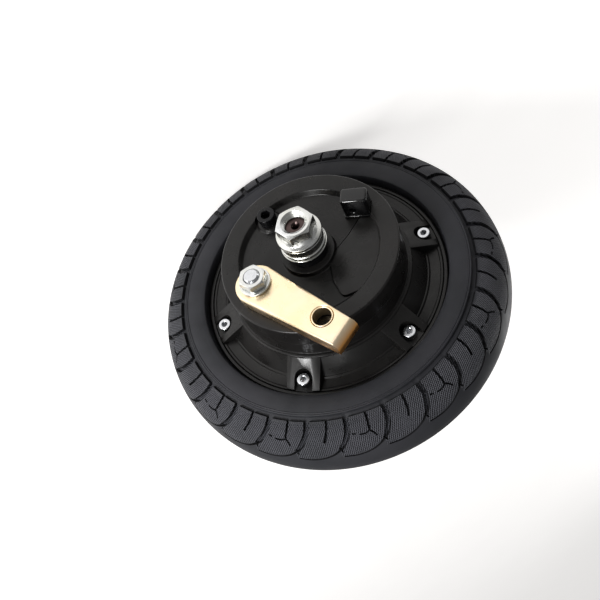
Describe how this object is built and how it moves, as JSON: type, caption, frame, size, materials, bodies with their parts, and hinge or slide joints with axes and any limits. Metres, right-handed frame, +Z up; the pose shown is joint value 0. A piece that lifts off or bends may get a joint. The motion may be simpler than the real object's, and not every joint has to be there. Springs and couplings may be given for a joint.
{
  "type": "hub motor wheel",
  "caption": "Small scooter wheel with a hub motor inside, a solid rubber tyre, and a drum brake worked by a cable lever.",
  "frame": {"origin": "centre of the wheel, on the axle, in the tyre's centre plane", "axes": "+Y along the axle away from the brake side, +Z up, +X completes the right-handed frame; the tyre meets the floor at z = -0.100 m"},
  "size_m": [0.2, 0.161, 0.2],
  "materials": {
    "tyre_rubber": "matte moulded tread rubber",
    "black_casting": "satin black coating on cast aluminium",
    "black_gloss": "glossy black moulding",
    "black_steel": "black oxide steel",
    "white_zinc": "bright white zinc plate",
    "yellow_zinc": "pale yellow zinc chromate plate",
    "bright_steel": "bright steel",
    "axle_steel": "turned steel",
    "bearing_steel": "ground bearing steel",
    "core_steel": "varnished steel laminations",
    "magnet_nickel": "nickel plated magnets",
    "copper": "enamelled copper wire",
    "bare_casting": "bare cast aluminium",
    "board_green": "green circuit board",
    "lining": "moulded brake lining",
    "bronze": "sintered bronze",
    "seal_rubber": "soft black rubber"
  },
  "bodies": {
    "axle": {"axle": "axle_steel", "axle_key": "bright_steel", "stator_hub": "bare_casting", "stator_core": "core_steel", "stator_windings": "copper", "hall_sensor_board": "board_green", "brake_bearing_inner_race": "bearing_steel", "rear_bearing_inner_race": "bearing_steel", "brake_side_inner_sleeve": "axle_steel", "brake_plate": "black_casting", "cable_stop": "black_gloss", "anchor_pin": "bright_steel", "cam_bush": "bronze", "plate_screw": "black_steel", "brake_side_collar": "black_steel", "brake_side_washer": "white_zinc", "brake_side_spacer": "white_zinc", "brake_side_nut": "white_zinc", "rear_collar": "black_steel", "rear_washer": "white_zinc", "rear_nut": "white_zinc", "cable_grommet": "seal_rubber"},
    "rotor": {"hub_shell": "black_casting", "tyre": "tyre_rubber", "magnet_ring": "magnet_nickel", "back_iron_ring": "axle_steel", "brake_side_cover": "black_casting", "rear_cover": "black_casting", "brake_drum_liner": "axle_steel", "brake_bearing_outer_race": "bearing_steel", "brake_bearing_balls": "bearing_steel", "brake_dust_seal": "seal_rubber", "rear_bearing_outer_race": "bearing_steel", "rear_bearing_balls": "bearing_steel", "rear_dust_seal": "seal_rubber", "brake_cover_screw_1": "bright_steel", "brake_cover_screw_2": "bright_steel", "brake_cover_screw_3": "bright_steel", "brake_cover_screw_4": "bright_steel", "brake_cover_screw_5": "bright_steel", "brake_cover_screw_6": "bright_steel", "rear_cover_screw_1": "bright_steel", "rear_cover_screw_2": "bright_steel", "rear_cover_screw_3": "bright_steel", "rear_cover_screw_4": "bright_steel", "rear_cover_screw_5": "bright_steel", "rear_cover_screw_6": "bright_steel"},
    "lever": {"cam_shaft": "bright_steel", "brake_lever": "yellow_zinc", "lever_cable_sleeve": "yellow_zinc", "lever_washer": "white_zinc", "lever_nut": "white_zinc"},
    "shoe_a": {"brake_shoe_a": "bare_casting", "brake_lining_a": "lining"},
    "shoe_b": {"brake_shoe_b": "bare_casting", "brake_lining_b": "lining", "shoe_spring_anchor_end": "bright_steel", "shoe_spring_cam_end": "bright_steel"}
  },
  "joints": [
    {"name": "wheel_spin", "type": "hinge", "parent": "axle", "child": "rotor", "pos_m": [0, 0, 0], "axis": [0, 1, 0], "continuous": true},
    {"name": "brake_lever_swing", "type": "hinge", "parent": "axle", "child": "lever", "pos_m": [0.03259, -0.058, 0.00516], "axis": [0, -1, 0], "range_deg": [0, 20], "stiffness_Nm_per_rad": 1.5, "springref_deg": -14.32},
    {"name": "shoe_a_swing", "type": "hinge", "parent": "axle", "child": "shoe_a", "pos_m": [-0.03259, -0.034, -0.00516], "axis": [0, 1, 0], "range_deg": [0, 1.25]},
    {"name": "shoe_b_swing", "type": "hinge", "parent": "axle", "child": "shoe_b", "pos_m": [-0.03259, -0.034, -0.00516], "axis": [0, -1, 0], "range_deg": [0, 1.25], "deforming": ["shoe_spring_anchor_end", "shoe_spring_cam_end"]}
  ],
  "couplings": [
    {"joint": "shoe_a_swing", "follows": "brake_lever_swing", "ratio": 0.06},
    {"joint": "shoe_b_swing", "follows": "brake_lever_swing", "ratio": 0.06}
  ]
}
